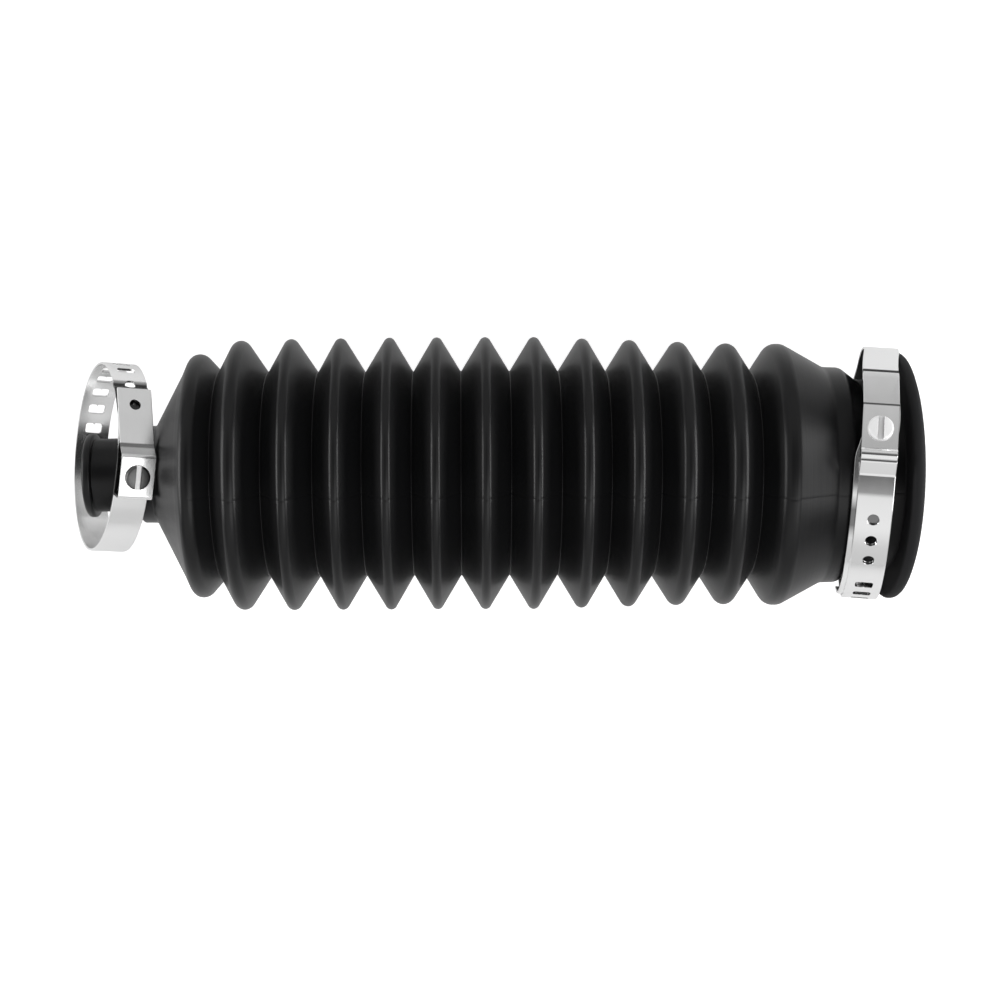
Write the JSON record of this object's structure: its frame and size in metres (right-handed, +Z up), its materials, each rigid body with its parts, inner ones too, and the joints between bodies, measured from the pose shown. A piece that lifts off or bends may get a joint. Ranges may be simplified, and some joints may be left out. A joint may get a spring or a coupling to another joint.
{
  "type": "rubber bellows boot",
  "caption": "Ribbed rubber bellows boot for a rack or rod, open at its small and large ends, with its steel band clamps lying loose round the two ends.",
  "frame": {"origin": "on the table, under the middle of the whole part's box", "axes": "+X runs along the boot from its small end to its big end, +Z is up, +Y is the side the ladder of the small clamp's strap shows on"},
  "size_m": [0.1894, 0.06, 0.0596],
  "materials": {
    "boot_rubber": "satin",
    "strap_steel": "polished",
    "screw_steel": "satin"
  },
  "bodies": {
    "boot": {"bellows": "boot_rubber", "small_strap": "strap_steel", "big_strap": "strap_steel"},
    "small_screw": {"small_screw": "screw_steel"},
    "big_screw": {"big_screw": "screw_steel"}
  },
  "joints": [
    {"name": "small_screw_turn", "type": "hinge", "parent": "boot", "child": "small_screw", "pos_m": [-0.07252, -0.00062, 0.04332], "axis": [0.3964, -0.1872, 0.8988], "continuous": true},
    {"name": "big_screw_turn", "type": "hinge", "parent": "boot", "child": "big_screw", "pos_m": [0.08347, 0.00957, 0.05566], "axis": [-0.1121, 0.2844, 0.9521], "continuous": true}
  ]
}
